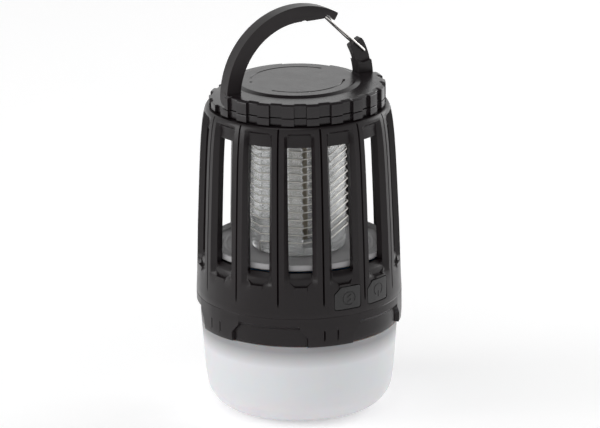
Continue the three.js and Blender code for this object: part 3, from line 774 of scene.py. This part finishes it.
def build_uv_board():
    """The upright lamp board and its four LED chips."""
    parts = [
        block("core", -0.72, 0.72, -3.4, 3.4, UV_LOW.z, UV_HIGH.z, BOARD),
        block("edge_a", -0.78, 0.78, 3.38, 4.2, UV_LOW.z, UV_HIGH.z, BOARD_EDGE),
        block("edge_b", -0.78, 0.78, -4.2, -3.38, UV_LOW.z, UV_HIGH.z, BOARD_EDGE),
    ]
    for side in (-1, 1):
        for z, size, look in ((83.2, 1.3, ORANGE), (86.6, 1.0, CHIP_BODY), (100.5, 0.9, CHIP_BODY),
                              (104.0, 0.7, ORANGE), (120.0, 0.9, CHIP_BODY)):
            x = sorted((side * 0.7, side * 1.5))
            parts.append(block("part", x[0], x[1], -size, size, z - size * 0.7, z + size * 0.7, look))
        x = sorted((side * 0.7, side * 2.6))
        parts.append(block("plug", x[0], x[1], -3.0, 3.0, 76.4, 79.6, BUTTON_BLACK, 0.3))
    board = spun(joined("lamp_board_upright", parts), GRID_PHASE)
    fitted(board, "lantern", "circuit_board", "uv_board")
    for i, (side, z) in enumerate(((1, 92), (1, 112), (-1, 92), (-1, 112))):
        x = sorted((side * 0.9, side * 1.9))
        tip = sorted((side * 1.85, side * 2.3))
        shell = block("shell", x[0], x[1], -1.8, 1.8, z - 2.5, z + 2.5, CHIP_BODY, 0.3)
        gel = block("gel", tip[0], tip[1], -1.35, 1.35, z - 2.0, z + 2.0, CHIP, 0.2)
        name = "uv_led_%d" % (i + 1)
        led = spun(joined(name + "_chip", [shell, gel]), GRID_PHASE)
        fitted(led, "lantern", "lamp_chip", name)


# ------------------------------------------------------------------ toothed tiers

def tooth_depth(angle):
    """How far the wall sits back at an angle: nothing on a tooth, the full depth in a gap."""
    turn = (angle - TOOTH_PHASE) % TOOTH_PITCH / TOOTH_PITCH
    return 0.0 if turn < 0.25 or turn > 0.75 else TOOTH_DEPTH


def toothed(name, profile, look, sharp=30.0):
    """A turned solid whose outer wall carries the grip teeth."""
    tooth_from = CAP_R - 3.0
    angles = []
    for i in range(TEETH):
        start = TOOTH_PHASE + i * TOOTH_PITCH
        for share in (-0.245, -0.12, 0.0, 0.12, 0.245, 0.262, 0.38, 0.5, 0.62, 0.738):
            angles.append(start + share * TOOTH_PITCH)
    count = len(profile)
    vertices = []
    for angle in angles:
        depth = tooth_depth(angle)
        for r, z in profile:
            vertices.append(polar(r - (depth if r > tooth_from else 0.0), angle, z))
    faces = []
    for j in range(len(angles)):
        for i in range(count):
            k, m = (j + 1) % len(angles), (i + 1) % count
            if profile[i][0] <= 0 and profile[m][0] <= 0:
                continue
            faces.append((j * count + i, j * count + m, k * count + m, k * count + i))
    return piece(name, vertices, faces, look, sharp)


def arc_groove(start, end, radius, width, z):
    """A round-ended bar that follows an arc, used to cut a groove."""
    steps = max(2, int(abs(end - start) / 3))
    points = [polar(radius, start + (end - start) * k / steps, z) for k in range(steps + 1)]
    return tube("groove", points, width, CAP_BLACK_SHEEN, 12)


def build_cap():
    """The toothed cap with its raised disc and folding channel."""
    rim = CAP_HIGH.z - 1.6
    profile = filleted([
        (0, 134.3), (22, 134.3), (26.4, 134.3), (26.4, 140.4), (35.6, 140.4), (35.6, TIER_Z),
        (CAP_R, TIER_Z, 0.25),
        (CAP_R, rim + 0.1, 0.5), (CAP_R - 1.5, rim + 0.75, 1.0),
        (CAP_R - 2.8, rim + 0.745), (DISC_R + 3.6, rim + 0.71), (DISC_R + 2.1, rim + 0.7, 1.0),
        (DISC_R + 0.1, CAP_HIGH.z, 0.5), (DISC_R - 0.8, CAP_HIGH.z), (0, CAP_HIGH.z),
    ])
    cap = toothed("cap_top", profile, CAP_BLACK_SHEEN, 26.0)
    front = -HANDLE_HALF_T - 0.5
    inner = math.degrees(math.asin(front / ISLAND_R))
    reach = CAP_R + 4
    outline = [(ISLAND_R * math.cos(rad(a)), ISLAND_R * math.sin(rad(a)))
               for a in [inner + (180 - 2 * inner) * k / 90 for k in range(91)]]
    left = [(-reach, front, 0.01), (-reach, reach), (reach, reach), (reach, front, 0.01)]
    channel = prism("channel", outline + [p[:2] for p in left], TIER_Z - 6, CAP_HIGH.z + 2, CAP_BLACK_SHEEN)
    combined(cap, channel, sharp=26.0)
    relief = [polar(r, a, 0)[:2] for r, a in
              [(GATE_RELIEF_R,
              GATE_RELIEF[0] + (GATE_RELIEF[1] - GATE_RELIEF[0]) * k / 24) for k in range(25)]
              + [(ISLAND_R + 2, GATE_RELIEF[1]), (ISLAND_R + 4, sum(GATE_RELIEF) / 2),
              (ISLAND_R + 2, GATE_RELIEF[0])]]
    combined(cap, prism("gate_relief", relief, GATE_RELIEF_Z, CAP_HIGH.z + 2, CAP_BLACK_SHEEN), sharp=26.0)
    z = CAP_HIGH.z + 0.12
    for start, end in ((30.4, 145.5), (-152.5, -31.3)):
        combined(cap, arc_groove(start, end, DISC_GROOVE_R, 0.55, z), sharp=26.0)
    for angle in (30.4, 160.2):
        x, y, _ = polar(DISC_GROOVE_R, angle, 0)
        dot = turned("dot", [(0, -1), (0.72, -1), (0.72, 1), (0, 1)], CAP_BLACK_SHEEN, 24)
        dot.data.transform(Matrix.Translation(Vector((x, y, CAP_HIGH.z + 0.6)) * MM))
        combined(cap, dot, sharp=26.0)
    fitted(cap, "cap", "black_shell", "top_cap")


def build_neck():
    """The lower toothed tier."""
    profile = filleted([
        (26.9, 137.6), (33.2, 137.6), (33.2, 132.8), (24.5, 132.8), (24.5, 131.2), (35.3, 131.2),
        (35.3, NECK_LOW.z + 5.0),
        (CAP_R, 136.2, 0.4), (CAP_R, NECK_HIGH.z, 0.3), (26.9, NECK_HIGH.z),
    ])
    fitted(toothed("cap_tier", profile, CAP_BLACK_SHEEN), "lantern", "black_shell", "cap_neck")


# ------------------------------------------------------------------ handle

def on_arc(radius, degrees):
    """X and Z of a point on the handle at a radius and an angle."""
    return (radius * math.cos(rad(degrees)), HANDLE_Z + radius * math.sin(rad(degrees)))


def arc(radius, start, end, steps):
    """Points along the handle's arc."""
    return [on_arc(radius, start + (end - start) * k / steps) for k in range(steps + 1)]


def foot(side):
    """Rounded foot of the handle, about its axle."""
    profile = [(0, HANDLE_INNER_R), (HANDLE_HALF_T, HANDLE_INNER_R), (HANDLE_HALF_T, HANDLE_R), (0, HANDLE_R)]
    made = turned("foot", profile, BLACK, 48)
    made.data.transform(Matrix.Rotation(rad(90 * side), 4, "Y"))
    made.data.transform(Matrix.Translation(Vector((0, 0, HANDLE_Z)) * MM))
    return made


def axle_hole(side):
    """Bore for the axle in one foot of the handle."""
    start, end = side * (HANDLE_INNER_R - 3), side * (HANDLE_R - 0.9)
    return tube("bore", [(start, 0, HANDLE_Z), (end, 0, HANDLE_Z)], 1.8, BLACK, 24)


def build_handle():
    """The hook and the short post."""
    outline = arc(HANDLE_R, 180, TIP_ANGLE + 2.2, 70)
    outline += filleted([on_arc(HANDLE_R, TIP_ANGLE + 2.2), (*on_arc(HANDLE_R, TIP_ANGLE), 1.2),
                         (*on_arc(32.8, TIP_ANGLE), 0.5), (13.9, 174.3)])[1:-1]
    outline += [(14.4, 174.0), (13.7, 174.35), (12.0, 172.8), (3.6, 172.8), (2.6, 173.3), (1.4, 173.25)]
    outline += arc(HANDLE_INNER_R, 88.4, 180, 60)
    arm = prism("hook_arm", outline, -HANDLE_HALF_T, HANDLE_HALF_T, BLACK, "y", 26.0)
    combined(arm, foot(-1), "UNION", 26.0)
    combined(arm, axle_hole(-1), sharp=26.0)
    eased(arm, 0.45, 3, 35.0)
    fitted(arm, "handle", "black_shell", "handle_arm")

    pivot_x, pivot_z = on_arc(GATE_R, GATE_ANGLE)
    outline = arc(HANDLE_R, 0, POST_ANGLE - 3, 14)
    outline += filleted([on_arc(HANDLE_R, POST_ANGLE - 3), (*on_arc(HANDLE_R - 0.3, POST_ANGLE), 0.8),
                         (*on_arc(HANDLE_INNER_R + 0.2, POST_ANGLE), 0.6),
                         on_arc(HANDLE_INNER_R, POST_ANGLE - 2)])[1:-1]
    outline += arc(HANDLE_INNER_R, POST_ANGLE - 2, 0, 14)
    post = prism("hook_post", outline, -HANDLE_HALF_T, HANDLE_HALF_T, BLACK, "y", 26.0)
    step_out = on_arc(HANDLE_R + 1, 12.5)
    step_in = on_arc(HANDLE_INNER_R - 1, 17.5)
    for y0, y1 in ((-5, -1.7), (1.7, 5)):
        cheek = prism("cheek", [(HANDLE_R + 6, step_out[1]), step_out, ((step_out[0] + step_in[0]) / 2 - 0.4,
                                step_out[1] - 1.2), step_in, (20, step_in[1]), (20, 176),
                                (HANDLE_R + 6, 176)],
                      y0, y1, BLACK, "y")
        combined(post, cheek, sharp=26.0)
    hole = tube("pin", [(pivot_x, -5, pivot_z), (pivot_x, 5, pivot_z)], GATE_WIRE_R + 0.3, BLACK, 20)
    combined(post, hole, sharp=26.0)
    combined(post, foot(1), "UNION", 26.0)
    combined(post, axle_hole(1), sharp=26.0)
    eased(post, 0.3, 2, 35.0)
    fitted(post, "handle", "black_shell", "handle_post")


def build_gate():
    """The sprung wire gate."""
    pivot_x, pivot_z = on_arc(GATE_R, GATE_ANGLE)
    tip_x, tip_z = GATE_TIP
    bend_x = pivot_x + (tip_x - pivot_x) * GATE_BEND
    bend_z = pivot_z + (tip_z - pivot_z) * GATE_BEND
    leg = [(pivot_x, 0.5, pivot_z), (pivot_x, 2.6, pivot_z), (bend_x, 2.6, bend_z), (tip_x, 0.9, tip_z)]
    mirrored = [(x, -y, z) for x, y, z in leg]
    gate = tube("gate_wire_round", mirrored + leg[::-1], GATE_WIRE_R, STEEL, 14, 0.9)
    fitted(gate, "gate", "steel", "gate_wire")


# ------------------------------------------------------------------ buttons and socket cover

def curved_plate(name, outline, x, radius, back, look):
    """A plate with a flat back at Y = back, whose front face lies on a cylinder round Z."""
    made = prism(name, outline, -60, back, look, "y")
    bm = bmesh.new()
    bm.from_mesh(made.data)
    for k in range(-14, 15):
        geometry = list(bm.verts) + list(bm.edges) + list(bm.faces)
        bmesh.ops.bisect_plane(bm, geom=geometry, dist=1e-7, plane_co=Vector((x + k * 0.5, 0, 0)) * MM,
                               plane_no=(1, 0, 0))
    for vert in bm.verts:
        if vert.co.y < (back - 1) * MM:
            vert.co.y = -math.sqrt(radius ** 2 - (vert.co.x / MM) ** 2) * MM
    bm.to_mesh(made.data)
    bm.free()
    smooth(made, 20.0)
    return made


def engrave(obj, points, width, x, radius):
    """Cuts a round groove along points across the plate's front, in mm from the middle of the button."""
    path = []
    for u, v in points:
        across_x = x + u
        path.append((across_x, -math.sqrt(radius ** 2 - across_x ** 2) - 0.1 * width, BUTTON_Z + v))
    combined(obj, tube("line", path, width, BUTTON_BLACK, 10), sharp=20.0)


def ring_points(cx, cy, size, start, end, steps=28):
    """Points along an arc on the face of a button."""
    return [(cx + size * math.cos(rad(start + (end - start) * k / steps)),
             cy + size * math.sin(rad(start + (end - start) * k / steps))) for k in range(steps + 1)]


def build_buttons():
    """The two buttons with their engraved signs."""
    radius = SEAM_R - 0.3
    for side, name in ((-1, "zap"), (1, "lamp")):
        x = button_x(side)
        button = curved_plate("%s_button_cap" % name, button_outline(x, 0.0), x, radius, -38.2, BUTTON_BLACK)
        if name == "zap":
            engrave(button, ring_points(0.4, -0.2, 2.9, -30, 300), 0.28, x, radius)
            engrave(button, [(1.3, 1.5), (-0.5, 0.3)], 0.28, x, radius)
            engrave(button, [(1.2, -0.5), (-0.6, -1.9)], 0.28, x, radius)
        else:
            engrave(button, ring_points(0.2, 0.4, 2.6, -52, 232), 0.3, x, radius)
            engrave(button, [(0.2, -0.2), (0.2, -3.0)], 0.3, x, radius)
        eased(button, 0.3, 3, 40.0)
        flange = block("flange", x - 7, x + 7, -39, -38, BUTTON_Z - 5.8, BUTTON_Z + 5.8, BUTTON_BLACK, 0.3)
        spun(button, CONTROL_ANGLE + 90)
        spun(flange, CONTROL_ANGLE + 90)
        flange.name = "%s_button_flange" % name
        fitted(flange, "%s_button" % name, "black_shell")
        fitted(button, "%s_button" % name, "black_shell", "button_%s" % name)


def build_port_cover():
    """The rubber cover of the charging socket."""
    outline = filleted([(-7.6, PORT_Z - 4.1, 1.1), (7.6, PORT_Z - 4.1, 1.1), (7.6, PORT_Z + 4.1, 1.1),
                        (-7.6, PORT_Z + 4.1, 1.1)])
    cover = prism("cover", outline, -60, -43.5, RUBBER, "y")
    bm = bmesh.new()
    bm.from_mesh(cover.data)
    for k in range(-15, 16):
        geometry = list(bm.verts) + list(bm.edges) + list(bm.faces)
        bmesh.ops.bisect_plane(bm, geom=geometry, dist=1e-7, plane_co=Vector((k * 0.5, 0, 0)) * MM,
                               plane_no=(1, 0, 0))
    for vert in bm.verts:
        if vert.co.y < -44.5 * MM:
            vert.co.y = -math.sqrt(44.7 ** 2 - (vert.co.x / MM) ** 2) * MM
    bm.to_mesh(cover.data)
    bm.free()
    smooth(cover, 20.0)
    for k in range(3):
        groove = [(-3.4, -44.75, PORT_Z + 2.3 + 0.7 * k - 0.2), (3.4, -44.75, PORT_Z + 2.3 + 0.7 * k - 0.2)]
        combined(cover, tube("grip", groove, 0.22, RUBBER, 8), sharp=20.0)
    eased(cover, 0.3, 3, 40.0)
    plug = block("plug", -3.8, 3.8, -43.9, -42, PORT_Z - 1, PORT_Z + 0.9, RUBBER, 0.3)
    for part, name in ((cover, "socket_cover"), (plug, "socket_cover_plug")):
        spun(part, CONTROL_ANGLE + 90 + 180)
        part.name = name
    fitted(plug, "port_flap", "black_shell")
    fitted(cover, "port_flap", "black_shell", "port_cover")


# ------------------------------------------------------------------ studio

VIEW_AZIMUTH = -30.0
VIEW_ELEVATION = 17.4
VIEW_DISTANCE = 2.2
VIEW_ROLL = 0.55
LENS = 302.0
AIM_Z = 0.0854
AIM_RIGHT = 0.0007


def build_camera():
    """Camera in front of the lantern, slightly above and rolled."""
    a, e = rad(VIEW_AZIMUTH), rad(VIEW_ELEVATION)
    back = Vector((math.sin(a) * math.cos(e), -math.cos(a) * math.cos(e), math.sin(e)))
    right = Vector((math.cos(a), math.sin(a), 0))
    aim = Vector((0, 0, AIM_Z)) + right * AIM_RIGHT
    data = bpy.data.cameras.new("camera")
    data.lens = LENS
    data.sensor_width = 36.0
    data.clip_start, data.clip_end = 0.1, 50.0
    camera = bpy.data.objects.new("camera", data)
    bpy.context.scene.collection.objects.link(camera)
    camera.rotation_mode = "QUATERNION"
    camera.location = aim + back * VIEW_DISTANCE
    camera.rotation_quaternion = (-back).to_track_quat("-Z", "Y") @ Matrix.Rotation(
        rad(-VIEW_ROLL), 3, "Z").to_quaternion()
    bpy.context.scene.camera = camera


def area_light(name, place, size, power, color=(1, 1, 1)):
    """A round soft light aimed at the lantern."""
    data = bpy.data.lights.new(name, "AREA")
    data.shape = "DISK"
    data.size = size
    data.energy = power
    data.color = color
    lamp = bpy.data.objects.new(name, data)
    bpy.context.scene.collection.objects.link(lamp)
    lamp.location = place
    lamp.rotation_mode = "QUATERNION"
    lamp.rotation_quaternion = (Vector((0, 0, 0.08)) - Vector(place)).to_track_quat("-Z", "Y")
    return lamp


def build_studio():
    """Pale world, floor and soft lights."""
    world = bpy.data.worlds.new("studio")
    bpy.context.scene.world = world
    world.use_nodes = True
    tree = world.node_tree
    sky = tree.nodes["Background"]
    place = node(tree, "ShaderNodeTexCoord")
    split = node(tree, "ShaderNodeSeparateXYZ")
    link(tree, place, "Generated", split, "Vector")
    ramp = node(tree, "ShaderNodeValToRGB")
    stops = ramp.color_ramp.elements
    stops[0].position, stops[0].color = 0.0, (1, 1, 1, 1)
    stops[1].position, stops[1].color = 1.0, (0.12, 0.12, 0.123, 1)
    middle = stops.new(0.55)
    middle.color = (1, 1, 1, 1)
    upper = stops.new(0.82)
    upper.color = (0.15, 0.15, 0.153, 1)
    link(tree, split, "Z", ramp, "Fac")
    link(tree, ramp, "Color", sky, "Color")
    sky.inputs["Strength"].default_value = 1.0

    floor_look = material("studio_floor", (0.93, 0.93, 0.93), 0.7, tint=0.004, rough_spread=0.02)
    shader = floor_look.node_tree.nodes["Principled BSDF"]
    shader.inputs["Emission Color"].default_value = (1, 1, 1, 1)
    shader.inputs["Emission Strength"].default_value = 0.25
    floor = turned("floor", [(0, -0.5), (3500, -0.5), (3500, -2.5), (0, -2.5)], floor_look, 96)
    area_light("top_soft", (-0.5, -0.3, 1.5), 1.1, 4.5)
    area_light("left_soft", (-1.6, 0.5, 0.5), 0.9, 9.0)
    area_light("right_soft", (1.3, 0.1, 0.4), 0.8, 5.0)
    bpy.context.scene.view_settings.view_transform = "Standard"
    bpy.context.scene.view_settings.look = "None"


# ------------------------------------------------------------------ all together

dress_cad_nodes()
build_housing()
build_collar()
build_lamp()
build_tray()
build_bobbin()
build_grid_wires()
build_uv_board()
build_cap()
build_neck()
build_handle()
build_gate()
build_buttons()
build_port_cover()
build_camera()
build_studio()
